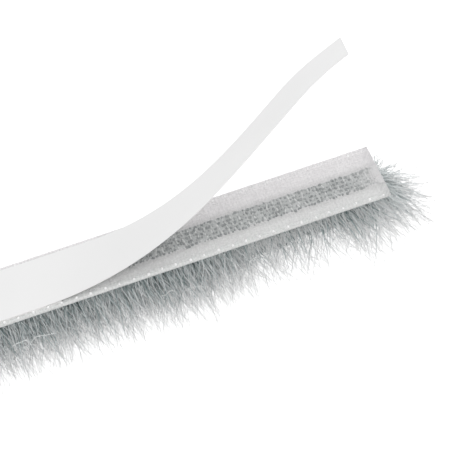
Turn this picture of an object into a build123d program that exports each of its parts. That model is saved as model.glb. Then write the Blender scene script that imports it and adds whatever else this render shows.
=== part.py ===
from build123d import *
from build123d.topology import SkipClean
import os
from math import cos, radians, sin, tan

# A self-adhesive brush seal strip, lying on the tips of its pile with its release liner peeled back
# from one end. +X runs along the strip toward the peeled end, +Z is the way the adhesive faces, and
# the origin is under the middle of the strip on the surface that it lies on. Millimetres.

# Ribbon
strip_length = 1000.0
ribbon_width = 9.0
ribbon_thickness = 0.8
selvedge_radius = 0.3

# Pile
pile_height = 12.0
pile_root_width = 3.3
pile_tip_width = 13.4
pile_shift = -0.5
pile_end_spread = 6.0
pile_tip_radius = 1.5
yarn_back_depth = 0.3

# Adhesive
adhesive_thickness = 0.2
adhesive_edge_margin = 0.3
bare_adhesive_length = 18.0

# Release liner, with the lengths of its stretches counted from its free end
liner_thickness = 0.13
liner_edge_margin = 0.2
liner_tab = 3.6
tip_flat_length = 2.7
tip_curl_length = 8.3
middle_flat_length = 4.7
peel_bend_length = 38.2

# The liner bends about straight lines across it. Each line's angle is measured from the strip's length.
peel_line_angle = 37.0
peel_bend_end_angle = 71.5
tip_curl_angle = 108.0
peel_turn_angle = 53.5
tip_turn_angle = -12.5
peel_folds = 24
tip_folds = 6

# Derived levels and widths
ribbon_underside = pile_height
ribbon_top = ribbon_underside + ribbon_thickness
adhesive_top = ribbon_top + adhesive_thickness
adhesive_width = ribbon_width - 2 * adhesive_edge_margin
liner_width = adhesive_width - 2 * liner_edge_margin
half_length = strip_length / 2


def make_ribbon():
    """Flat woven ribbon with rounded selvedges and a shallow seat for the backs of the yarns."""
    outline = Pos(0, (ribbon_underside + ribbon_top) / 2) * Rectangle(ribbon_width, ribbon_thickness)
    outline = fillet(outline.vertices(), selvedge_radius)
    seat = Pos(pile_shift, ribbon_top - yarn_back_depth / 2) * Rectangle(pile_root_width, yarn_back_depth)
    return extrude(Plane.YZ * (outline - seat), half_length, both=True)


def make_yarn_backs():
    """Backs of the pile yarns, level with the ribbon's face."""
    band = Pos(pile_shift, ribbon_top - yarn_back_depth / 2) * Rectangle(pile_root_width, yarn_back_depth)
    return extrude(Plane.YZ * band, half_length, both=True)


def brush_outline(root_width, tip_width):
    """Outline of the pile seen along a row: straight out of the ribbon, then opening to the tips."""
    root = root_width / 2
    tip = tip_width / 2
    right_side = Bezier((root, ribbon_underside), (root, ribbon_underside / 2), (tip, pile_tip_radius))
    left_side = Bezier((-tip, pile_tip_radius), (-root, ribbon_underside / 2), (-root, ribbon_underside))
    under = Polyline((tip, pile_tip_radius), (tip - pile_tip_radius, 0), (pile_tip_radius - tip, 0),
                     (-tip, pile_tip_radius))
    top = Line((-root, ribbon_underside), (root, ribbon_underside))
    return make_face([right_side, under, left_side, top])


def make_pile():
    """Soft flared body of the brush: its cross section met by its outline along the strip."""
    across = Plane.YZ * Pos(pile_shift, 0) * brush_outline(pile_root_width, pile_tip_width)
    along = Plane.XZ * brush_outline(strip_length, strip_length + 2 * pile_end_spread)
    full_length = extrude(across, half_length + 2 * pile_end_spread, both=True)
    full_width = extrude(along, pile_tip_width + abs(pile_shift), both=True)
    return full_length & full_width


def make_adhesive():
    """Clear layer on the ribbon. The bare stretch at the peeled end keeps a top face of its own."""
    def stretch(start, end):
        block = Box(end - start, adhesive_width, adhesive_thickness)
        return Pos((start + end) / 2, 0, (ribbon_top + adhesive_top) / 2) * block

    bare_start = half_length - bare_adhesive_length
    with SkipClean():
        return stretch(-half_length, bare_start) + stretch(bare_start, half_length)


def bend_lines():
    """Lines across the flat liner that it turns about: place on its middle, angle, turn, all in order."""
    free_end = half_length + liner_tab
    curl_start = free_end - tip_flat_length - tip_curl_length
    peel_start = curl_start - middle_flat_length - peel_bend_length
    lines = []
    for fold in range(peel_folds):
        along = (fold + 0.5) / peel_folds
        place = peel_start + along * peel_bend_length
        angle = peel_line_angle + along * (peel_bend_end_angle - peel_line_angle)
        lines.append((place, angle, 2 * (1 - along) * peel_turn_angle / peel_folds))
    for fold in range(tip_folds):
        place = curl_start + (fold + 0.5) / tip_folds * tip_curl_length
        lines.append((place, tip_curl_angle, tip_turn_angle / tip_folds))
    return lines, free_end


def cut_across(place, angle):
    """The flat liner's thin cross section along a line at the given angle to its length."""
    half = liner_width / 2
    lean = half / tan(radians(angle))
    low = adhesive_top
    high = adhesive_top + liner_thickness
    corners = [(place - lean, -half, low), (place + lean, half, low),
               (place + lean, half, high), (place - lean, -half, high)]
    return make_face(Polyline(*corners, close=True))


def turn_about(place, angle, turn):
    """Lift of everything past a line across the liner, by an angle about that line."""
    line = (-cos(radians(angle)), -sin(radians(angle)), 0)
    pivot = Pos(place, 0, adhesive_top)
    return pivot * Location((0, 0, 0), line, turn) * pivot.inverse()


def make_liner():
    """Release liner: flat on the adhesive, then lifted over slanting lines to its free end."""
    lines, free_end = bend_lines()
    sections = [cut_across(-half_length, 90)]
    lifted = Location()
    for place, angle, turn in lines:
        half_turn = turn_about(place, angle, turn / 2)
        lifted = lifted * half_turn
        sections.append(lifted * cut_across(place, angle))
        lifted = lifted * half_turn
    sections.append(lifted * cut_across(free_end, 90))
    return loft(sections, ruled=True)


parts = {
    "backing_ribbon": make_ribbon(),
    "pile": make_pile(),
    "pile_yarn_backs": make_yarn_backs(),
    "adhesive_layer": make_adhesive(),
    "release_liner": make_liner(),
}

os.makedirs("parts", exist_ok=True)
for name, part in parts.items():
    export_step(part, f"parts/{name}.step")
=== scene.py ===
import math

import bpy
import numpy as np
from mathutils import Matrix, Vector


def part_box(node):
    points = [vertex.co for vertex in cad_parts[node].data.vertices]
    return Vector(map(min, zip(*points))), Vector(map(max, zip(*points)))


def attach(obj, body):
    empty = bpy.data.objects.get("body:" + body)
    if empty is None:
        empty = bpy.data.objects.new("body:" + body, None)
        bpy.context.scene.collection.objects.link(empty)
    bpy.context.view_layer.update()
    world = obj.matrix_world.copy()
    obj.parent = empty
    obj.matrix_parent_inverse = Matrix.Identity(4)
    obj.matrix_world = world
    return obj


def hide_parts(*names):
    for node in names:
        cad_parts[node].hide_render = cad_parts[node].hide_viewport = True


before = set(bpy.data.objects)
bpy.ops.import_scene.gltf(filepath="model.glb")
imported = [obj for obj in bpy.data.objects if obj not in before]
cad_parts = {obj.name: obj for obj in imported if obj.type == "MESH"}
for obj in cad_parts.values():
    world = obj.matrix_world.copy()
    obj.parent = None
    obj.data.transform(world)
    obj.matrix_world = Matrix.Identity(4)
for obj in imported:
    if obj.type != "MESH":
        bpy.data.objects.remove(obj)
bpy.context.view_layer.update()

MM = 0.001
BODY = "root"

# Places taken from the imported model, in metres
ribbon_low, ribbon_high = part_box("backing_ribbon")
yarn_low, yarn_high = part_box("pile_yarn_backs")
adhesive_low, adhesive_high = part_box("adhesive_layer")
_, pile_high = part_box("pile")
half_length = ribbon_high.x
ribbon_underside = ribbon_low.z
ribbon_face = ribbon_high.z
adhesive_face = adhesive_high.z
pile_middle = (yarn_low.y + yarn_high.y) / 2
pile_root_width = yarn_high.y - yarn_low.y
pile_height = pile_high.z

# Release liner, as it is cut and bent
liner_width = 8.0 * MM
liner_thickness = 0.13 * MM
liner_tab = 3.6 * MM
tip_flat_length = 2.7 * MM
tip_curl_length = 8.3 * MM
middle_flat_length = 4.7 * MM
peel_bend_length = 38.2 * MM
peel_line_angle = 37.0
peel_bend_end_angle = 71.5
tip_curl_angle = 108.0
peel_turn = 53.5
tip_turn = -12.5
peel_steps = 72
tip_steps = 16
steps_across = 12
crisp_angle = 40.0
liner_end = half_length + liner_tab
curl_start = liner_end - tip_flat_length - tip_curl_length
peel_start = curl_start - middle_flat_length - peel_bend_length

# The camera of the photograph, in millimetres, degrees and pixels
camera_elevation = 58.0
camera_swing = 21.559
camera_distance = 340.0
end_right = 22.98
end_above = 8.289
pixels_per_mm = 6.6986
frame_pixels = 450.0
sensor_width = 36.0


def new_object(name, data):
    made = bpy.data.objects.new(name, data)
    bpy.context.scene.collection.objects.link(made)
    return made


def new_piece(name, points, faces, finish, smooth=True):
    """A new object made from points and faces, with its material."""
    mesh = bpy.data.meshes.new(name)
    mesh.from_pydata([tuple(map(float, point)) for point in points], [], faces)
    mesh.validate()
    mesh.update()
    mesh.polygons.foreach_set("use_smooth", [smooth] * len(mesh.polygons))
    mesh.materials.append(finish)
    return new_object(name, mesh)


def tube_faces(rings, sides, first=0):
    """Outward faces of a closed tube. Its points come ring after ring, and each ring turns
    counterclockwise as it is seen from past the last one."""
    faces = []
    for ring in range(rings - 1):
        for side in range(sides):
            a = first + ring * sides + side
            b = first + ring * sides + (side + 1) % sides
            faces.append((a, b, b + sides, a + sides))
    last = first + (rings - 1) * sides
    faces.append(tuple(first + side for side in reversed(range(sides))))
    faces.append(tuple(last + side for side in range(sides)))
    return faces


# Node helpers, for geometry and for shading alike

class Nodes:
    """Short ways to add nodes to one tree and to link them."""

    def __init__(self, tree):
        self.tree = tree

    def add(self, kind, settings=None, **inputs):
        """A new node. In the name of an input, an underscore stands for a space."""
        node = self.tree.nodes.new(kind)
        for key, value in (settings or {}).items():
            setattr(node, key, value)
        for key, value in inputs.items():
            self.put(node.inputs[key.replace("_", " ")], value)
        return node

    def put(self, socket, value):
        if isinstance(value, bpy.types.NodeSocket):
            self.tree.links.new(value, socket)
        else:
            socket.default_value = value

    def maths(self, operation, *values):
        node = self.add("ShaderNodeMath", {"operation": operation})
        for socket, value in zip(node.inputs, values):
            self.put(socket, value)
        return node.outputs[0]

    def plus(self, first, second):
        return self.maths("ADD", first, second)

    def minus(self, first, second):
        return self.maths("SUBTRACT", first, second)

    def times(self, first, second):
        return self.maths("MULTIPLY", first, second)

    def apart(self, first, second):
        """How far two values are from each other."""
        return self.maths("ABSOLUTE", self.minus(first, second))

    def noise(self, vector, scale, detail):
        return self.add("ShaderNodeTexNoise", Vector=vector, Scale=scale, Detail=detail).outputs

    def vector(self, operation, *values, out="Vector"):
        node = self.add("ShaderNodeVectorMath", {"operation": operation})
        for socket, value in zip(node.inputs, values):
            self.put(socket, value)
        return node.outputs[out]

    def scaled(self, vector, amount):
        node = self.add("ShaderNodeVectorMath", {"operation": "SCALE"})
        self.put(node.inputs[0], vector)
        self.put(node.inputs["Scale"], amount)
        return node.outputs[0]

    def xyz(self, x, y, z=0.0):
        return self.add("ShaderNodeCombineXYZ", X=x, Y=y, Z=z).outputs[0]

    def parts(self, vector):
        return self.add("ShaderNodeSeparateXYZ", Vector=vector).outputs

    def span(self, value, low, high, to_low=0.0, to_high=1.0):
        """A value that goes softly from one number to another while the given one goes from low to high."""
        node = self.add("ShaderNodeMapRange", {"interpolation_type": "SMOOTHSTEP"})
        for socket, item in zip(node.inputs, (value, low, high, to_low, to_high)):
            self.put(socket, item)
        return node.outputs[0]

    def blend(self, factor, first, second):
        node = self.add("ShaderNodeMix", {"data_type": "RGBA"})
        self.put(node.inputs[0], factor)
        self.put(node.inputs[6], first)
        self.put(node.inputs[7], second)
        return node.outputs[2]


# Geometry Nodes helpers

def geometry_tree(name, numbers, others):
    """A new tree with an input for each named number and for each of the others, which state their kind."""
    tree = bpy.data.node_groups.new(name, "GeometryNodeTree")
    tree.interface.new_socket("Geometry", in_out="OUTPUT", socket_type="NodeSocketGeometry")
    for label, kind in [(label, "Float") for label in numbers] + others:
        tree.interface.new_socket(label, in_out="INPUT", socket_type="NodeSocket" + kind)
    nodes = Nodes(tree)
    source = tree.nodes.new("NodeGroupInput").outputs
    target = tree.nodes.new("NodeGroupOutput").inputs[0]
    return nodes, source, target


def grow(name, tree, values, drop=()):
    """Runs a geometry tree with the given inputs and returns its result as a plain piece, without the
    attributes to drop."""
    holder = new_object(name, bpy.data.meshes.new(name + "_seed"))
    modifier = holder.modifiers.new("grow", "NODES")
    modifier.node_group = tree
    for item in tree.interface.items_tree:
        if item.in_out == "INPUT" and item.name in values:
            modifier[item.identifier] = values[item.name]
    graph = bpy.context.evaluated_depsgraph_get()
    grown = bpy.data.meshes.new_from_object(holder.evaluated_get(graph), depsgraph=graph)
    holder.modifiers.remove(modifier)
    seed = holder.data
    holder.data = grown
    bpy.data.meshes.remove(seed)
    grown.name = name
    for label in drop:
        if label in grown.attributes:
            grown.attributes.remove(grown.attributes[label])
    return holder


def random_between(nodes, low, high, number, seed):
    """A random value for each point. Each use in a tree has its own number."""
    node = nodes.add("FunctionNodeRandomValue", {"data_type": "FLOAT"})
    nodes.put(node.inputs[2], low)
    nodes.put(node.inputs[3], high)
    nodes.put(node.inputs["Seed"], nodes.plus(seed, float(number)))
    return node.outputs[1]


def keep(nodes, geometry, name, value, kind="FLOAT"):
    """Stores a named attribute on the geometry's points."""
    node = nodes.add("GeometryNodeStoreNamedAttribute", {"data_type": kind, "domain": "POINT"})
    nodes.put(node.inputs["Geometry"], geometry)
    nodes.put(node.inputs["Name"], name)
    nodes.put(node.inputs["Value"], value)
    return node.outputs[0]


def kept(nodes, name, kind="FLOAT"):
    """Reads an attribute that keep() stored."""
    node = nodes.add("GeometryNodeInputNamedAttribute", {"data_type": kind})
    nodes.put(node.inputs["Name"], name)
    return node.outputs[0]


def patches(nodes, place, size):
    """Soft noise whose patches are about as wide as the given size."""
    return nodes.noise(nodes.scaled(place, nodes.maths("DIVIDE", 1.0, size)), 1.0, 1.0)


def level_bed(nodes, source, width, level, columns, rows):
    """A level grid from the tree's Start to its End, to root things on."""
    run = nodes.minus(source["End"], source["Start"])
    centre = nodes.times(nodes.plus(source["Start"], source["End"]), 0.5)
    grid = nodes.add("GeometryNodeMeshGrid", Size_X=run, Size_Y=width, Vertices_X=columns, Vertices_Y=rows)
    return nodes.add("GeometryNodeTransform", Geometry=grid.outputs[0],
                     Translation=nodes.xyz(centre, source["Middle"], level)).outputs[0]


def finished(nodes, geometry, finish):
    """The last steps of a tree: smooth shading and the material."""
    smooth = nodes.add("GeometryNodeSetShadeSmooth", Geometry=geometry, Shade_Smooth=True)
    return nodes.add("GeometryNodeSetMaterial", Geometry=smooth.outputs[0], Material=finish).outputs[0]


# Shader groups that several materials share

def shader_group(name, inputs, outputs):
    group = bpy.data.node_groups.new(name, "ShaderNodeTree")
    for label, kind, value in inputs:
        socket = group.interface.new_socket(label, in_out="INPUT", socket_type="NodeSocket" + kind)
        if value is not None:
            socket.default_value = value
    for label, kind in outputs:
        group.interface.new_socket(label, in_out="OUTPUT", socket_type="NodeSocket" + kind)
    nodes = Nodes(group)
    source = group.nodes.new("NodeGroupInput").outputs
    target = group.nodes.new("NodeGroupOutput").inputs
    return group, nodes, source, target


def weave_group():
    """Threads of a plain weave in the ribbon's own plane, as a height and a shade."""
    group, nodes, source, target = shader_group(
        "plain_weave", [("Vector", "Vector", None), ("Warp Pitch", "Float", 0.5 * MM),
                        ("Weft Pitch", "Float", 0.5 * MM), ("Unevenness", "Float", 0.3)],
        [("Height", "Float"), ("Shade", "Float")])
    fuzz_scale, fuzz_detail = 900.0, 3.0
    lift_shade = 0.5
    x, y, _ = nodes.parts(source["Vector"])
    warp = nodes.times(nodes.maths("DIVIDE", y, source["Warp Pitch"]), math.pi)
    weft = nodes.times(nodes.maths("DIVIDE", x, source["Weft Pitch"]), math.pi)
    lift = nodes.maths("ABSOLUTE", nodes.times(nodes.maths("SINE", warp), nodes.maths("SINE", weft)))
    fuzz = nodes.noise(source["Vector"], fuzz_scale, fuzz_detail)["Fac"]
    rough = nodes.times(fuzz, source["Unevenness"])
    nodes.put(target["Height"], nodes.plus(lift, rough))
    nodes.put(target["Shade"], nodes.plus(nodes.times(lift, lift_shade), rough))
    return group


def mottle_group():
    """Cloudy noise and fine noise, for surfaces that aren't quite even."""
    group, nodes, source, target = shader_group(
        "mottle", [("Vector", "Vector", None), ("Cloud Scale", "Float", 150.0),
                   ("Grain Scale", "Float", 3000.0)],
        [("Cloud", "Float"), ("Grain", "Float")])
    for label, detail in (("Cloud", 2.0), ("Grain", 4.0)):
        nodes.put(target[label], nodes.noise(source["Vector"], source[label + " Scale"], detail)["Fac"])
    return group


def cut_end_group():
    """A mask that rises toward the cut end, where threads are pressed flat, and the slanted streaks there."""
    group, nodes, source, target = shader_group(
        "cut_end", [("Vector", "Vector", None), ("Start", "Float", half_length - 2.4 * MM),
                    ("Full", "Float", half_length - 0.5 * MM)],
        [("Mask", "Float"), ("Streaks", "Float")])
    ragged_depth, ragged_scale = 2.0 * MM, 900.0
    streak_angle = math.radians(-52)
    streak_scale = (500.0, 5500.0, 500.0)
    x, _, _ = nodes.parts(source["Vector"])
    wander = nodes.minus(nodes.noise(source["Vector"], ragged_scale, 1.0)["Fac"], 0.5)
    shifted = nodes.plus(x, nodes.times(wander, ragged_depth))
    nodes.put(target["Mask"], nodes.span(shifted, source["Start"], source["Full"]))
    turned = nodes.add("ShaderNodeMapping", Vector=source["Vector"], Rotation=(0.0, 0.0, streak_angle))
    drawn = nodes.add("ShaderNodeMapping", Vector=turned.outputs[0], Scale=streak_scale)
    nodes.put(target["Streaks"], nodes.noise(drawn.outputs[0], 1.0, 2.0)["Fac"])
    return group


plain_weave = weave_group()
mottle = mottle_group()
cut_end = cut_end_group()


def material(name):
    """A new material, with its nodes and its shader."""
    made = bpy.data.materials.new(name)
    made.use_nodes = True
    shader = made.node_tree.nodes["Principled BSDF"]
    return made, Nodes(made.node_tree), shader


def own_coordinates(nodes):
    return nodes.add("ShaderNodeTexCoord").outputs["Object"]


def use_group(nodes, group, **inputs):
    return nodes.add("ShaderNodeGroup", {"node_tree": group}, **inputs)


def ramp(nodes, value, *stops):
    """A colour that follows a value through the given stops."""
    node = nodes.add("ShaderNodeValToRGB", Fac=value)
    elements = node.color_ramp.elements
    while len(elements) < len(stops):
        elements.new(0.5)
    for element, (place, colour) in zip(elements, stops):
        element.position = place
        element.color = (*colour, 1.0)
    return node.outputs[0]


def stored(nodes, name):
    """Reads a value that the fibres carry."""
    return nodes.add("ShaderNodeAttribute", {"attribute_name": name}).outputs["Fac"]


def bump(nodes, shader, height, distance, strength):
    node = nodes.add("ShaderNodeBump", Height=height, Distance=distance, Strength=strength)
    nodes.put(shader.inputs["Normal"], node.outputs[0])


def ribbon_material():
    """White weave, greyer beside the yarn band and pressed flat at the cut end."""
    weave_shade, weave_relief = 0.25, 0.4
    beside_width, beside_shade = 1.0 * MM, 0.80
    made, nodes, shader = material("woven_ribbon")
    place = own_coordinates(nodes)
    weave = use_group(nodes, plain_weave, Vector=place, Warp_Pitch=0.42 * MM, Weft_Pitch=0.55 * MM)
    soft = use_group(nodes, mottle, Vector=place, Cloud_Scale=300.0, Grain_Scale=5200.0)
    end = use_group(nodes, cut_end, Vector=place)
    shade = nodes.plus(nodes.times(weave.outputs["Shade"], weave_shade), soft.outputs["Grain"])
    woven = ramp(nodes, shade, (0.42, (0.72, 0.72, 0.72)), (0.78, (0.96, 0.955, 0.955)))
    pressed = ramp(nodes, end.outputs["Streaks"], (0.35, (0.64, 0.64, 0.645)), (0.65, (0.84, 0.835, 0.84)))
    _, y, _ = nodes.parts(place)
    across = nodes.span(y, ribbon_low.y, ribbon_high.y)
    tint = ramp(nodes, across, (0.0, (0.84, 0.855, 0.845)), (1.0, (1.0, 0.985, 0.995)))
    flat = nodes.blend(end.outputs["Mask"], woven, pressed)
    band_half = pile_root_width / 2
    off_middle = nodes.apart(y, pile_middle)
    shaded = nodes.span(off_middle, band_half, band_half + beside_width, beside_shade, 1.0)
    nodes.put(shader.inputs["Base Color"], nodes.vector("MULTIPLY", nodes.scaled(flat, shaded), tint))
    shader.inputs["Roughness"].default_value = 0.5
    relief = nodes.plus(nodes.times(weave.outputs["Height"], weave_relief), soft.outputs["Grain"])
    bump(nodes, shader, relief, 0.04 * MM, 0.8)
    return made


def selvedge_material():
    made, nodes, shader = material("selvedge_thread")
    soft = use_group(nodes, mottle, Vector=own_coordinates(nodes))
    colour = ramp(nodes, soft.outputs["Grain"], (0.3, (0.93, 0.93, 0.93)), (0.7, (1.0, 1.0, 1.0)))
    nodes.put(shader.inputs["Base Color"], colour)
    shader.inputs["Roughness"].default_value = 0.2
    return made


def adhesive_material():
    """Nearly clear film with a faint haze that thins out toward its long edges."""
    edge_width, edge_share = 0.6 * MM, 0.15
    made, nodes, shader = material("clear_adhesive")
    place = own_coordinates(nodes)
    soft = use_group(nodes, mottle, Vector=place, Cloud_Scale=260.0, Grain_Scale=1600.0)
    colour = ramp(nodes, soft.outputs["Cloud"], (0.3, (0.90, 0.885, 0.895)), (0.7, (0.95, 0.94, 0.945)))
    nodes.put(shader.inputs["Base Color"], colour)
    haze = nodes.span(soft.outputs["Grain"], 0.3, 0.7, 0.10, 0.20)
    _, y, _ = nodes.parts(place)
    film_half = (adhesive_high.y - adhesive_low.y) / 2
    edge = nodes.span(nodes.maths("ABSOLUTE", y), film_half - edge_width, film_half, 1.0, edge_share)
    nodes.put(shader.inputs["Alpha"], nodes.times(haze, edge))
    shader.inputs["Roughness"].default_value = 0.28
    bump(nodes, shader, soft.outputs["Grain"], 0.05 * MM, 0.6)
    return made


# Painted light: a pale milky colour for the strips that lift the shade under the liner's laid edges
def painted_edge_light_material():
    made, nodes, shader = material("painted_edge_light")
    soft = use_group(nodes, mottle, Vector=own_coordinates(nodes), Cloud_Scale=260.0, Grain_Scale=1600.0)
    colour = ramp(nodes, soft.outputs["Cloud"], (0.3, (0.86, 0.85, 0.84)), (0.7, (0.92, 0.91, 0.90)))
    nodes.put(shader.inputs["Base Color"], colour)
    shader.inputs["Roughness"].default_value = 0.45
    return made


def liner_material():
    made, nodes, shader = material("release_paper")
    soft = use_group(nodes, mottle, Vector=own_coordinates(nodes), Cloud_Scale=60.0, Grain_Scale=5000.0)
    colour = ramp(nodes, soft.outputs["Cloud"], (0.3, (0.855, 0.855, 0.855)), (0.7, (0.885, 0.885, 0.885)))
    nodes.put(shader.inputs["Base Color"], colour)
    shader.inputs["Roughness"].default_value = 0.42
    shader.inputs["Specular IOR Level"].default_value = 0.3
    bump(nodes, shader, soft.outputs["Grain"], 0.008 * MM, 0.4)
    return made


def fibre_material(name, dark, pale):
    """Thin fibres, paler from root to tip as painted light: painted shade near the root and painted
    brightness at the tips. Each is somewhere between the dark and the pale kind, and painted glints along its
    crimp move it toward one or the other here and there."""
    made, nodes, shader = material(name)
    along, tone, fade = [stored(nodes, label) for label in ("along", "tone", "fade")]
    # Painted glints and painted shade along each fibre's crimp move it toward its pale or its dark kind
    glints_along = 9.0
    tones_apart = 400.0
    glint_place = nodes.xyz(nodes.times(along, glints_along), nodes.times(tone, tones_apart))
    painted_glint = nodes.noise(glint_place, 1.0, 1.0)["Fac"]
    tone_and_glint = nodes.plus(tone, nodes.minus(painted_glint, 0.5))
    # The paling from root to tip is painted light: painted shade near the root, painted brightness at the
    # tips
    paled = nodes.times(along, fade)
    stops = (0.15, 0.5, 0.82)
    kinds = [ramp(nodes, paled, *zip(stops, colours)) for colours in (dark, pale)]
    nodes.put(shader.inputs["Base Color"], nodes.blend(nodes.span(tone_and_glint, 0.3, 0.7), *kinds))
    shader.inputs["Roughness"].default_value = 0.4
    return made


def stray_material():
    made, _, shader = material("stray_fibres")
    shader.inputs["Base Color"].default_value = (0.88, 0.90, 0.90, 1.0)
    shader.inputs["Roughness"].default_value = 0.3
    return made


def core_material():
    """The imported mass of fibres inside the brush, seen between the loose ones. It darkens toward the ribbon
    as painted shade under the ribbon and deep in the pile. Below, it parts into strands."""
    strand_scale = (4500.0, 2500.0, 220.0)
    pale_level = 3.0 * MM
    parted_level, whole_level = 2.0 * MM, 7.5 * MM
    parted_share, whole_share = 0.65, 0.2
    strand_edge = 0.02
    made, nodes, shader = material("packed_fibres")
    place = own_coordinates(nodes)
    stretch = nodes.add("ShaderNodeMapping", Vector=place, Scale=strand_scale)
    streaks = nodes.noise(stretch.outputs[0], 1.0, 4.0)["Fac"]
    _, _, z = nodes.parts(place)
    # Painted shade: darker toward the ribbon's underside
    depth = nodes.span(z, pale_level, ribbon_underside)
    dark = ramp(nodes, streaks, (0.35, (0.08, 0.10, 0.105)), (0.65, (0.34, 0.40, 0.405)))
    pale = ramp(nodes, streaks, (0.35, (0.34, 0.38, 0.385)), (0.65, (0.84, 0.87, 0.87)))
    nodes.put(shader.inputs["Base Color"], nodes.blend(depth, pale, dark))
    parting = nodes.span(z, parted_level, whole_level, parted_share, whole_share)
    strands = nodes.span(nodes.minus(streaks, parting), -strand_edge, strand_edge)
    nodes.put(shader.inputs["Alpha"], strands)
    shader.inputs["Roughness"].default_value = 0.6
    bump(nodes, shader, streaks, 0.15 * MM, 0.9)
    return made


def yarn_material(name, darkest, palest, fade_from=None):
    """Pile yarn on the ribbon's face. It pales toward the cut end and, where asked, toward the sides of its
    band, from the given distance off the band's middle."""
    ragged_width = 0.8 * MM
    wear_from, wear_full = half_length - 6.0 * MM, half_length - 2.0 * MM
    near_wear, end_wear = 0.3, 0.9
    faded = (0.68, 0.675, 0.68, 1.0)
    made, nodes, shader = material(name)
    place = own_coordinates(nodes)
    soft = use_group(nodes, mottle, Vector=place, Cloud_Scale=420.0, Grain_Scale=4200.0)
    end = use_group(nodes, cut_end, Vector=place)
    shade = nodes.times(nodes.plus(soft.outputs["Cloud"], soft.outputs["Grain"]), 0.5)
    colour = ramp(nodes, shade, (0.35, darkest), (0.65, palest))
    x, y, _ = nodes.parts(place)
    if fade_from is not None:
        ragged = nodes.times(nodes.minus(soft.outputs["Grain"], 0.5), ragged_width)
        off_middle = nodes.plus(nodes.apart(y, pile_middle), ragged)
        sides = nodes.span(off_middle, fade_from, pile_root_width / 2)
        colour = nodes.blend(sides, colour, faded)
    nearing = nodes.span(x, wear_from, wear_full, 0.0, near_wear)
    worn = nodes.maths("MAXIMUM", nodes.times(end.outputs["Mask"], end_wear), nearing)
    nodes.put(shader.inputs["Base Color"], nodes.blend(worn, colour, faded))
    shader.inputs["Roughness"].default_value = 0.5
    bump(nodes, shader, soft.outputs["Grain"], 0.03 * MM, 0.7)
    return made


woven_ribbon = ribbon_material()
selvedge_thread = selvedge_material()
clear_adhesive = adhesive_material()
painted_edge_light = painted_edge_light_material()
release_paper = liner_material()
fine_fibre = fibre_material("fine_fibres", [(0.12, 0.175, 0.18), (0.295, 0.375, 0.38), (0.92, 0.93, 0.93)],
                            [(0.78, 0.825, 0.83), (0.87, 0.905, 0.91), (0.98, 0.98, 0.98)])
bold_fibre = fibre_material("bold_fibres", [(0.175, 0.245, 0.25), (0.44, 0.535, 0.54), (0.93, 0.94, 0.94)],
                            [(0.84, 0.90, 0.90), (0.91, 0.945, 0.945), (0.99, 0.99, 0.99)])
stray_fibre = stray_material()
packed_fibres = core_material()
yarn_band = yarn_material("yarn_band", (0.28, 0.31, 0.305), (0.54, 0.56, 0.555), fade_from=1.25 * MM)
yarn_loop_finish = yarn_material("yarn_loops", (0.12, 0.14, 0.14), (0.30, 0.325, 0.32))
weft_thread = yarn_material("weft_thread", (0.50, 0.52, 0.515), (0.70, 0.71, 0.705))


# Pile

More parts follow.
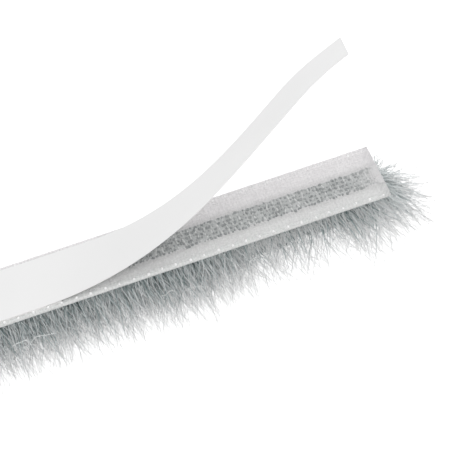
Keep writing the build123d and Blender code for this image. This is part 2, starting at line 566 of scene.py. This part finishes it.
def fibre_tree():
    """Fibres rooted at random in a strip under the ribbon. Each leans, opens outward and curls a little.
    They fan out at both ends of the strip, and around one place few of them are full length."""
    nodes, source, target = geometry_tree("brush_fibres", [
        "Start", "End", "Middle", "Root Width", "Root Level", "Strip Half", "Lowest", "Seed",
        "Fibres Per Square Metre", "Length", "Shortest", "Longest", "Evenness", "Radius", "Tip Share",
        "Lean", "Opening", "Disorder", "Wave", "Curls", "Clump Size", "Clump Pull", "Tuft Size",
        "Fan Length", "End Fan", "End Share", "End Length", "End Painted Light", "End Disorder", "End Contrast",
        "Thin Middle", "Thin Reach", "Thinness", "Thin Fade"],
        [("Segments", "Int"), ("Material", "Material")])
    strip_half, fan_length = source["Strip Half"], source["Fan Length"]
    bed = level_bed(nodes, source, source["Root Width"], source["Root Level"], 2, 2)
    roots = nodes.add("GeometryNodeDistributePointsOnFaces", Mesh=bed,
                      Density=source["Fibres Per Square Metre"], Seed=source["Seed"])
    place = nodes.add("GeometryNodeInputPosition").outputs[0]
    x, y, z = nodes.parts(place)
    half_root = nodes.times(source["Root Width"], 0.5)
    side = nodes.maths("DIVIDE", nodes.minus(y, source["Middle"]), half_root)

    def chance(low, high, number):
        return random_between(nodes, low, high, number, source["Seed"])

    def before_end(fans):
        """The place that lies so many fan lengths before the cut end."""
        return nodes.minus(strip_half, nodes.times(fan_length, fans))

    unruly_from, loose_from = before_end(1.6), before_end(0.6)

    # Lean and opening, with the fans at the ends and clumps that lean together
    near_end = nodes.minus(strip_half, fan_length)
    fan_right, fan_left = [nodes.span(reach, near_end, strip_half, 0.0, source["End Fan"])
                           for reach in (x, nodes.times(x, -1.0))]
    front_share = 0.15
    front_gathering, back_gathering = -0.5, 0.1
    front_more = nodes.minus(1.0, nodes.times(side, front_share))
    fan = nodes.times(nodes.minus(fan_right, fan_left), front_more)
    gathering = nodes.span(side, -1.0, 1.0, front_gathering, back_gathering)
    gathered = nodes.minus(1.0, nodes.times(nodes.plus(fan_right, fan_left), gathering))
    clump = nodes.vector("SUBTRACT", patches(nodes, place, source["Clump Size"])["Color"], (0.5, 0.5, 0.5))
    pull_x, pull_y, _ = nodes.parts(nodes.scaled(clump, source["Clump Pull"]))
    lean_x = nodes.plus(nodes.plus(source["Lean"], fan), pull_x)
    lean_y = nodes.plus(nodes.times(side, nodes.times(source["Opening"], gathered)), pull_y)

    # Each fibre drifts straight to its side and sweeps on in a bend, with some disorder in both
    unruly = nodes.span(x, unruly_from, loose_from, 1.0, source["End Disorder"])
    spread = nodes.times(source["Disorder"], unruly)
    spread_back = nodes.times(spread, -1.0)

    def disorder(number):
        return nodes.plus(*[chance(spread_back, spread, number + draw) for draw in (0, 1)])

    straight_x, straight_y = 0.6, 0.35
    drift = nodes.xyz(nodes.plus(nodes.times(lean_x, straight_x), disorder(10)),
                      nodes.plus(nodes.times(lean_y, straight_y), disorder(20)))
    sweep = nodes.xyz(nodes.plus(nodes.times(lean_x, 1 - straight_x), disorder(30)),
                      nodes.plus(nodes.times(lean_y, 1 - straight_y), disorder(40)))
    wave = nodes.scaled(nodes.xyz(chance(-1.0, 1.0, 80), chance(-1.0, 1.0, 90)), source["Wave"])

    # A leaning fibre drops less far. Few are full length around the thin place, and many at the cut end.
    sweep_felt = 0.8
    slope = nodes.vector("LENGTH", nodes.vector("ADD", drift, nodes.scaled(sweep, sweep_felt)), out="Value")
    upright = nodes.maths("INVERSE_SQRT", nodes.plus(nodes.times(slope, slope), 1.0))
    from_thin = nodes.apart(x, source["Thin Middle"])
    thinness = nodes.span(from_thin, 0.0, source["Thin Reach"], source["Thinness"], 0.0)
    longer = nodes.span(x, loose_from, strip_half, 0.0, source["End Length"])
    shortness = nodes.minus(nodes.plus(thinness, source["Evenness"]), longer)
    share = nodes.maths("POWER", chance(0.0, 1.0, 50), shortness)
    full = nodes.span(share, 0.0, 1.0, source["Shortest"], source["Longest"])
    drop = nodes.times(nodes.times(source["Length"], full), upright)

    # Tone, partly shared by a tuft, with more contrast toward the cut end and paler there as painted light
    # from the side
    tuft_share = 0.4
    tuft_tone = nodes.span(patches(nodes, place, source["Tuft Size"])["Fac"], 0.3, 0.7)
    tone = nodes.plus(nodes.times(tuft_tone, tuft_share), nodes.times(chance(0.0, 1.0, 60), 1 - tuft_share))
    contrast = nodes.span(x, unruly_from, loose_from, 1.0, source["End Contrast"])
    tone = nodes.plus(nodes.times(nodes.minus(tone, 0.5), contrast), 0.5)
    # Painted light: fibres near the cut end shift toward the pale kind
    painted_end_light = nodes.span(x, loose_from, strip_half, 0.0, source["End Painted Light"])
    # Around the thin place the root-to-tip paling, which is painted light, comes sooner along each fibre
    fade_wider = 1.4
    fade_reach = nodes.times(source["Thin Reach"], fade_wider)
    fade = nodes.span(from_thin, 0.0, fade_reach, source["Thin Fade"], 1.0)

    points = roots.outputs[0]
    for label, value, kind in (
            ("drift", drift, "FLOAT_VECTOR"), ("sweep", sweep, "FLOAT_VECTOR"), ("drop", drop, "FLOAT"),
            ("tone", nodes.plus(tone, painted_end_light), "FLOAT"), ("fade", fade, "FLOAT"),
            ("phase", chance(0.0, 2 * math.pi, 100), "FLOAT"), ("wave", wave, "FLOAT_VECTOR")):
        points = keep(nodes, points, label, value, kind)

    # One straight fibre of length 1 that hangs down and thins toward its tip
    needle = nodes.add("GeometryNodeMeshCone", {"fill_type": "NGON"}, Vertices=3,
                       Side_Segments=source["Segments"], Radius_Top=1.0, Radius_Bottom=1.0, Depth=1.0)
    hanging = nodes.add("GeometryNodeTransform", Geometry=needle.outputs[0], Scale=(1.0, 1.0, -1.0))
    turned = nodes.add("GeometryNodeFlipFaces", Mesh=hanging.outputs[0])
    marked = keep(nodes, turned.outputs[0], "along", nodes.times(z, -1.0))
    along = kept(nodes, "along")
    thinning_power = 2.5
    thinned = nodes.times(nodes.maths("POWER", along, thinning_power), nodes.minus(1.0, source["Tip Share"]))
    girth = nodes.minus(1.0, thinned)
    slimmed = nodes.vector("MULTIPLY", place, nodes.xyz(girth, girth, 1.0))
    fibre = nodes.add("GeometryNodeSetPosition", Geometry=marked, Position=slimmed).outputs[0]
    drop_here = kept(nodes, "drop")
    share_here = nodes.span(x, loose_from, strip_half, 1.0, source["End Share"])
    planted = nodes.add("GeometryNodeInstanceOnPoints", Points=points, Instance=fibre,
                        Selection=nodes.maths("LESS_THAN", chance(0.0, 1.0, 110), share_here),
                        Rotation=nodes.xyz(0.0, 0.0, chance(0.0, 2 * math.pi, 70)),
                        Scale=nodes.xyz(source["Radius"], source["Radius"], drop_here))
    real = nodes.add("GeometryNodeRealizeInstances", Geometry=planted.outputs[0])

    # The bend and the curl, never below the floor
    sweeping = nodes.scaled(kept(nodes, "sweep", "FLOAT_VECTOR"), nodes.times(along, along))
    bent = nodes.vector("ADD", nodes.scaled(kept(nodes, "drift", "FLOAT_VECTOR"), along), sweeping)
    turn = nodes.times(nodes.times(along, source["Curls"]), 2 * math.pi)
    swing = nodes.maths("SINE", nodes.plus(turn, kept(nodes, "phase")))
    waving = nodes.scaled(kept(nodes, "wave", "FLOAT_VECTOR"), nodes.times(swing, along))
    moved = nodes.vector("ADD", place, nodes.scaled(nodes.vector("ADD", bent, waving), drop_here))
    no_limit = -10.0
    floor_safe = nodes.vector("MAXIMUM", moved, nodes.xyz(no_limit, no_limit, source["Lowest"]))
    shaped = nodes.add("GeometryNodeSetPosition", Geometry=real.outputs[0], Position=floor_safe)
    nodes.put(target, finished(nodes, shaped.outputs[0], source["Material"]))
    return nodes.tree


brush_fibres = fibre_tree()


def fibres(name, start, end, per_mm, radius, segments, seed, **changes):
    """One piece of loose fibres between two places along the strip, with per_mm of them in a millimetre."""
    values = {
        "Start": start, "End": end, "Middle": pile_middle, "Root Width": pile_root_width,
        "Root Level": ribbon_underside - 0.02 * MM, "Strip Half": half_length, "Lowest": 0.03 * MM,
        "Seed": float(seed), "Fibres Per Square Metre": per_mm / (MM * pile_root_width),
        "Length": pile_height, "Shortest": 0.32, "Longest": 1.13, "Evenness": 1.05,
        "Radius": radius, "Tip Share": 0.12, "Segments": segments, "Material": fine_fibre,
        "Lean": 0.25, "Opening": 0.62, "Disorder": 0.26, "Wave": 0.09, "Curls": 1.6,
        "Clump Size": 1.0 * MM, "Clump Pull": 0.04, "Tuft Size": 0.22 * MM,
        # They fan out at both ends. At the peeled one fewer are left, and these are longer and wilder, and
        # paler as painted light from the side
        "Fan Length": 20.0 * MM, "End Fan": 0.72, "End Share": 0.47, "End Length": 0.65,
        "End Painted Light": 0.56, "End Disorder": 1.9, "End Contrast": 1.7,
        # Around this place few of them are full length, as in the photograph
        "Thin Middle": half_length - 17.0 * MM, "Thin Reach": 12.5 * MM, "Thinness": 2.9, "Thin Fade": 1.18}
    values.update({label.replace("_", " "): value for label, value in changes.items()})
    piece = grow(name, brush_fibres, values, drop=("drift", "sweep", "drop", "wave", "phase"))
    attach(piece, BODY)


# The finer fibres reach this far from the peeled end, and the core slims toward them
fine_length = 68.0 * MM
fine_from = half_length - fine_length
core_taper = 6.0 * MM


def brush_core():
    """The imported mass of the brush: flares like the pile, a little unevenly, inside the loose fibres."""
    core_root = 0.46 * pile_root_width
    slim_tip, full_tip = 2.2 * MM, 4.6 * MM
    slim_bottom, full_bottom = 5.5 * MM, 2.4 * MM
    uneven_width, uneven_level = 0.12, 0.5 * MM
    end_inset, end_reach = 1.5 * MM, 0.5 * MM
    core_top = ribbon_underside - 0.05 * MM
    level_count, station_count = 9, 601
    levels = np.linspace(0.0, 1.0, level_count)
    stations = np.linspace(-1.0, 1.0, station_count)
    unevenness = np.random.default_rng(3).uniform(-1.0, 1.0, (station_count, 3))
    outline = [(-1, depth) for depth in levels] + [(1, depth) for depth in reversed(levels)]
    points = []
    for station, (front_more, back_more, lower) in zip(stations, unevenness):
        slim = np.clip((station * half_length - fine_from) / core_taper, 0.0, 1.0)
        tip = full_tip + (slim_tip - full_tip) * slim
        bottom = full_bottom + (slim_bottom - full_bottom) * slim + lower * uneven_level
        for side, depth in outline:
            reach = half_length - end_inset + end_reach * depth ** 2
            more = front_more if side < 0 else back_more
            width = core_root + (tip * (1.0 + uneven_width * more) - core_root) * depth ** 2
            z = core_top - depth * (ribbon_underside - bottom)
            points.append((station * reach, pile_middle + side * width, z))
    piece = new_piece("pile_core", points, tube_faces(station_count, len(outline)), packed_fibres)
    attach(piece, BODY)
    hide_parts("pile")


brush_core()
for number in range(2):
    fibres(f"pile_fibres_{number + 1}", fine_from, half_length, per_mm=88.0, radius=0.07 * MM, segments=5,
           seed=11 + number)
fibres("pile_fibres_bold", fine_from, half_length, per_mm=56.0, radius=0.085 * MM, segments=8, seed=21,
       Material=bold_fibre, Disorder=0.21, Wave=0.14, Curls=2.1, Shortest=0.3, Longest=0.95)
for number in range(2):
    fibres(f"pile_fibres_length_{number + 1}", -half_length, fine_from, per_mm=11.5, radius=0.19 * MM,
           segments=2, seed=31 + number)

# Strays in front of the pile, in millimetres. Each bend has its distance from the cut end and its level
stray_front = -6.0
stray_radius = 0.06
stray_steps = 6
stray_tip_share = 0.3
stray_tip_steps = 3
stray_bends = [
    [(60.2, 8.5), (59.5, 8.9), (58.8, 8.9), (58.0, 9.0), (57.6, 8.3), (57.8, 7.4), (58.5, 7.1), (59.0, 7.3)],
    [(58.5, 6.8), (57.7, 6.9), (57.3, 7.8), (56.6, 8.9), (55.9, 8.9), (55.0, 8.5), (54.1, 8.3), (53.3, 8.0)],
    [(26.9, 7.6), (26.3, 7.7), (25.5, 7.5), (24.8, 6.8)],
    [(24.7, 8.4), (24.1, 8.2), (23.4, 7.8), (23.1, 8.3), (23.2, 9.4), (22.7, 10.2), (21.9, 10.5)],
    [(33.2, 7.9), (32.5, 8.0), (31.7, 7.8), (30.7, 7.1)],
    [(33.1, 7.6), (32.3, 6.8), (31.5, 6.1), (30.6, 6.1)],
    [(37.3, 8.5), (36.5, 8.4), (35.7, 9.1), (34.8, 8.3)],
]


def smooth_path(bends):
    """Points of a smooth curve through the bends."""
    knots = np.array([bends[0], *bends, bends[-1]])
    path = []
    for a, b, c, d in zip(knots, knots[1:], knots[2:], knots[3:]):
        for t in np.arange(stray_steps) / stray_steps:
            path.append(0.5 * (2 * b + (c - a) * t + (2 * a - 5 * b + 4 * c - d) * t ** 2
                               + (3 * b - a - 3 * c + d) * t ** 3))
    path.append(knots[-1])
    return np.array(path)


def stray_fibres():
    """Single fibres with four sides that thin out at both ends."""
    points, faces = [], []
    for bends in stray_bends:
        path = smooth_path(bends)
        heading = np.gradient(path, axis=0)
        heading /= np.linalg.norm(heading, axis=1, keepdims=True)
        faces += tube_faces(len(path), 4, len(points))
        for step, ((back, level), (along, up)) in enumerate(zip(path, heading)):
            from_end = min(step, len(path) - 1 - step)
            share = stray_tip_share + (1 - stray_tip_share) * from_end / stray_tip_steps
            girth = stray_radius * min(1.0, share)
            for aside, out in ((1, 0), (0, 1), (-1, 0), (0, -1)):
                points.append((half_length - (back + aside * up * girth) * MM,
                               (stray_front - out * girth) * MM,
                               (level - aside * along * girth) * MM))
    piece = new_piece("stray_fibres", points, faces, stray_fibre)
    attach(piece, BODY)


stray_fibres()


# Yarn backs, weft threads and selvedge loops

def bead_rows_tree():
    """Flattened beads in straight rows, each a little out of place and of its own size."""
    nodes, source, target = geometry_tree(
        "bead_rows",
        ["Start", "End", "Middle", "Row Spread", "Pitch", "Level", "Smallest", "Looseness", "Turn", "Seed"],
        [("Rows", "Int"), ("Segments", "Int"), ("Rings", "Int"), ("Size", "Vector"),
         ("Material", "Material")])
    largest = 1.1

    def chance(low, high, number):
        return random_between(nodes, low, high, number, source["Seed"])

    run = nodes.minus(source["End"], source["Start"])
    count = nodes.maths("FLOOR", nodes.maths("DIVIDE", run, source["Pitch"]))
    bed = level_bed(nodes, source, source["Row Spread"], source["Level"], count, source["Rows"])
    shift = [nodes.times(chance(-1.0, 1.0, number), source["Looseness"]) for number in (1, 2)]
    loose = nodes.add("GeometryNodeSetPosition", Geometry=bed, Offset=nodes.xyz(*shift))
    bead = nodes.add("GeometryNodeMeshUVSphere", Segments=source["Segments"], Rings=source["Rings"],
                     Radius=1.0)
    spin = nodes.times(chance(-1.0, 1.0, 4), source["Turn"])
    planted = nodes.add("GeometryNodeInstanceOnPoints", Points=loose.outputs[0], Instance=bead.outputs[0],
                        Rotation=nodes.xyz(0.0, 0.0, spin),
                        Scale=nodes.scaled(source["Size"], chance(source["Smallest"], largest, 3)))
    real = nodes.add("GeometryNodeRealizeInstances", Geometry=planted.outputs[0])
    nodes.put(target, finished(nodes, real.outputs[0], source["Material"]))
    return nodes.tree


bead_rows = bead_rows_tree()

# The rows start where the liner still lies on them, and end a weft short of the cut end
weft_pitch = 1.095 * MM
rows_length = 62.0 * MM
rows_from = half_length - rows_length
yarn_rows = 5
yarn_row_pitch = 0.68 * MM
yarn_middle = pile_middle - 0.1 * MM


def beads(name, slot, **values):
    """One piece of beads. In the name of a value, an underscore stands for a space."""
    piece = grow(name, bead_rows, {label.replace("_", " "): value for label, value in values.items()})
    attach(piece, BODY)


beads("yarn_loops", "pile_yarn", Start=rows_from, End=half_length - weft_pitch, Middle=yarn_middle,
      Row_Spread=yarn_row_pitch * (yarn_rows - 1), Rows=yarn_rows, Pitch=weft_pitch / 2, Level=ribbon_face,
      Size=(0.25 * MM, 0.30 * MM, 0.12 * MM), Smallest=0.4, Looseness=0.16 * MM, Turn=0.9,
      Segments=8, Rings=5, Seed=5.0, Material=yarn_loop_finish)
beads("weft_threads", "pile_yarn", Start=rows_from, End=half_length - weft_pitch, Middle=yarn_middle,
      Row_Spread=yarn_row_pitch * (yarn_rows - 2), Rows=yarn_rows - 1, Pitch=weft_pitch,
      Level=ribbon_face + 0.03 * MM, Size=(0.17 * MM, 0.42 * MM, 0.12 * MM), Smallest=0.4,
      Looseness=0.14 * MM, Turn=0.3, Segments=8, Rings=5, Seed=6.0, Material=weft_thread)

selvedge_pitch = 2 * weft_pitch
front_selvedge = ribbon_low.y + 0.30 * MM
back_selvedge = ribbon_high.y - 0.50 * MM
for side_name, edge, smallest in (("front", front_selvedge, 0.7), ("back", back_selvedge, 0.5)):
    beads("selvedge_loops_" + side_name, "ribbon", Start=-half_length + selvedge_pitch,
          End=half_length - selvedge_pitch / 2, Middle=edge, Row_Spread=0.0, Rows=1, Pitch=selvedge_pitch,
          Level=ribbon_face - 0.02 * MM, Size=(0.28 * MM, 0.24 * MM, 0.30 * MM), Smallest=smallest,
          Looseness=0.10 * MM, Turn=0.5, Segments=6, Rings=4, Seed=7.0, Material=selvedge_thread)

# The back selvedge's cord, a little short of both cut ends
cord_radius = 0.22 * MM
cord_unevenness = 0.08
cord_sides = 8
cord_stations = 801
cord_inset = 0.05 * MM
cord_short = 0.05 * MM
cord_level = ribbon_face - 0.14 * MM


def selvedge_cord():
    """The thick outer thread of the ribbon's back edge, a little uneven along its length."""
    stations = np.linspace(cord_short - half_length, half_length - cord_short, cord_stations)
    uneven = np.random.default_rng(4).uniform(1.0 - cord_unevenness, 1.0 + cord_unevenness, cord_stations)
    girths = cord_radius * uneven
    turns = np.linspace(0.0, 2 * math.pi, cord_sides, endpoint=False)
    edge = ribbon_high.y - cord_inset
    points = [(x, edge + girth * math.cos(turn), cord_level + girth * math.sin(turn))
              for x, girth in zip(stations, girths) for turn in turns]
    piece = new_piece("selvedge_cord", points, tube_faces(cord_stations, cord_sides), woven_ribbon)
    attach(piece, BODY)


selvedge_cord()


# Adhesive

# What the adhesive keeps off the faces that it lies on and under
off_face = 0.005 * MM


def adhesive_film():
    """Clear layer with bevelled long edges."""
    low, high = adhesive_low, adhesive_high
    bottom = low.z + off_face
    bevel = 0.12 * MM
    section = [(high.y, bottom), (high.y, high.z - bevel), (high.y - bevel, high.z),
               (low.y + bevel, high.z), (low.y, high.z - bevel), (low.y, bottom)]
    station_count = 201
    points = [(x, y, z) for x in np.linspace(low.x, high.x, station_count) for y, z in section]
    faces = tube_faces(station_count, len(section))
    piece = new_piece("adhesive_film", points, faces, clear_adhesive, smooth=False)
    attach(piece, BODY)
    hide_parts("adhesive_layer")


adhesive_film()


def painted_edge_light_strips():
    """Pale strips under the edges of the liner, as far as the liner is still laid down: painted light that
    lifts the shade in the crevice under the liner's edges.
    """
    width = 0.15 * MM
    past_edge = 0.02 * MM
    reach_past_lift = 4.0 * MM
    lift_lean = liner_width / 2 / math.tan(math.radians(peel_line_angle))
    low, high = ribbon_face + off_face, adhesive_face - off_face
    laid_end = past_edge - half_length
    reach = liner_width / 2 + past_edge
    points, faces = [], []
    for side in (-1, 1):
        lift = peel_start + side * lift_lean + reach_past_lift
        near, far = sorted((side * reach, side * (reach - width)))
        section = [(far, low), (far, high), (near, high), (near, low)]
        faces += tube_faces(2, len(section), len(points))
        points += [(x, y, z) for x in (laid_end, lift) for y, z in section]
    section = [(laid_end, low), (laid_end, high), (laid_end + width, high), (laid_end + width, low)]
    faces += tube_faces(2, len(section), len(points))
    points += [(x, y, z) for y in (width - reach, reach - width) for x, z in section]
    piece = new_piece("painted_light_strips", points, faces, painted_edge_light, smooth=False)
    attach(piece, BODY)


painted_edge_light_strips()


# Release liner

def liner_lines():
    """Lines across the flat liner in order: place on its middle, angle, and the turn about it."""
    lines = []
    for step in range(peel_steps):
        along = (step + 0.5) / peel_steps
        angle = peel_line_angle + along * (peel_bend_end_angle - peel_line_angle)
        lines.append((peel_start + along * peel_bend_length, angle, 2 * (1 - along) * peel_turn / peel_steps))
    for step in range(tip_steps):
        place = curl_start + (step + 0.5) / tip_steps * tip_curl_length
        lines.append((place, tip_curl_angle, tip_turn / tip_steps))
    return lines


def lifted(points, lines):
    """Bends flat liner points about each line in turn, from the free end back to the peel line."""
    flat = points.copy()
    on_line = 1e-9  # Metres past a line that still count as on it
    for place, angle, turn in reversed(lines):
        a = math.radians(angle)
        past = (flat[:, 0] - place) * math.sin(a) - flat[:, 1] * math.cos(a) > on_line
        if not past.any():
            continue
        pivot = Vector((place, 0.0, adhesive_face))
        turning = Matrix.Rotation(math.radians(turn), 4, Vector((-math.cos(a), -math.sin(a), 0.0)))
        move = np.array(Matrix.Translation(pivot) @ turning @ Matrix.Translation(-pivot))
        points[past] = points[past] @ move[:3, :3].T + move[:3, 3]
    return points


def liner_sheet():
    """Thin sheet whose cross lines follow the bend lines, with sharp cut edges."""
    lines = liner_lines()
    cross = [(-half_length, 90.0)] + [(place, angle) for place, angle, _ in lines] + [(liner_end, 90.0)]
    across = np.linspace(-liner_width / 2, liner_width / 2, steps_across + 1)
    sheet = []
    for level in (adhesive_face, adhesive_face + liner_thickness):
        for place, angle in cross:
            for v in across:
                sheet.append((place + v / math.tan(math.radians(angle)), v, level))
    points = lifted(np.array(sheet), lines)
    rows, columns = len(cross), len(across)
    layer = rows * columns
    faces = []
    for i in range(rows - 1):
        for j in range(columns - 1):
            a = i * columns + j
            faces.append((a, a + 1, a + columns + 1, a + columns))
            b = a + layer
            faces.append((b, b + columns, b + columns + 1, b + 1))
        for edge, flip in ((0, False), (columns - 1, True)):
            a = i * columns + edge
            wall = (a, a + columns, a + columns + layer, a + layer)
            faces.append(tuple(reversed(wall)) if flip else wall)
    for start, flip in ((0, True), ((rows - 1) * columns, False)):
        for j in range(columns - 1):
            a = start + j
            wall = (a, a + 1, a + 1 + layer, a + layer)
            faces.append(tuple(reversed(wall)) if flip else wall)
    piece = new_piece("release_liner_sheet", points, faces, release_paper)
    edges = piece.modifiers.new("crisp_edges", "EDGE_SPLIT")
    edges.split_angle = math.radians(crisp_angle)
    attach(piece, BODY)
    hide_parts("release_liner")


liner_sheet()

# The ribbon and the flat band of yarn under the loops keep their CAD shapes
for node, finish in (("backing_ribbon", woven_ribbon), ("pile_yarn_backs", yarn_band)):
    kept_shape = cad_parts[node]
    kept_shape.data.materials.clear()
    kept_shape.data.materials.append(finish)


# Floor, light and camera

def seen_directly(nodes):
    """1 where the camera sees a surface, also in a mirror or through glass, and 0 where it only lights."""
    path = nodes.add("ShaderNodeLightPath").outputs
    by_gloss = nodes.maths("MAXIMUM", path["Is Glossy Ray"], path["Is Transmission Ray"])
    return nodes.maths("MAXIMUM", path["Is Camera Ray"], by_gloss)


def floor():
    """Pale floor that keeps the object's shadow and is seen as white."""
    reach = 6.0
    seen_glow = 0.75
    made, nodes, shader = material("white_floor")
    shader.inputs["Base Color"].default_value = (0.8, 0.8, 0.8, 1.0)
    shader.inputs["Roughness"].default_value = 1.0
    shader.inputs["Specular IOR Level"].default_value = 0.0
    shader.inputs["Emission Color"].default_value = (1.0, 1.0, 1.0, 1.0)
    nodes.put(shader.inputs["Emission Strength"], nodes.times(seen_directly(nodes), seen_glow))
    points = [(-reach, -reach, 0.0), (reach, -reach, 0.0), (reach, reach, 0.0), (-reach, reach, 0.0)]
    sheet = new_piece("floor", points, [(0, 1, 2, 3)], made)


def lights():
    """An even white sky and one large soft lamp above the front of the peeled end."""
    sky_strength = 0.86
    lamp_width = 0.9
    lamp_watts = 1.6
    lamp_offset = Vector((0.0, -0.2, 1.0))
    lit_place = Vector((half_length - 30 * MM, 0.0, 0.0))
    world = bpy.data.worlds.new("studio")
    bpy.context.scene.world = world
    world.use_nodes = True
    sky = world.node_tree.nodes["Background"]
    sky.inputs["Color"].default_value = (1.0, 1.0, 1.0, 1.0)
    nodes = Nodes(world.node_tree)
    nodes.put(sky.inputs["Strength"], nodes.maths("MAXIMUM", seen_directly(nodes), sky_strength))
    soft_box = bpy.data.lights.new("soft_box", "AREA")
    soft_box.shape = "RECTANGLE"
    soft_box.size = lamp_width
    soft_box.size_y = lamp_width
    soft_box.energy = lamp_watts
    lamp = new_object("soft_box", soft_box)
    lamp.location = lit_place + lamp_offset
    lamp.rotation_euler = (-lamp_offset).to_track_quat("-Z", "Y").to_euler()


def camera():
    """The photograph's view. It has the peeled end to the right of the picture's middle and above it."""
    tilt, swing = math.radians(camera_elevation), math.radians(camera_swing)
    right = Vector((math.cos(swing), -math.sin(swing), 0.0))
    up = Vector((math.sin(swing) * math.sin(tilt), math.cos(swing) * math.sin(tilt), math.cos(tilt)))
    back = Vector((-math.sin(swing) * math.cos(tilt), -math.cos(swing) * math.cos(tilt), math.sin(tilt)))
    strip_end = Vector((half_length, 0.0, adhesive_face))
    lens = bpy.data.cameras.new("camera")
    lens.sensor_width = sensor_width
    lens.lens = pixels_per_mm * camera_distance * sensor_width / frame_pixels
    lens.clip_start = 0.01
    lens.clip_end = 50.0
    view = new_object("camera", lens)
    place = strip_end + (back * camera_distance - right * end_right - up * end_above) * MM
    view.matrix_world = Matrix.Translation(place) @ Matrix((right, up, back)).transposed().to_4x4()
    bpy.context.scene.camera = view


floor()
lights()
camera()
bpy.context.scene.view_settings.view_transform = "Standard"
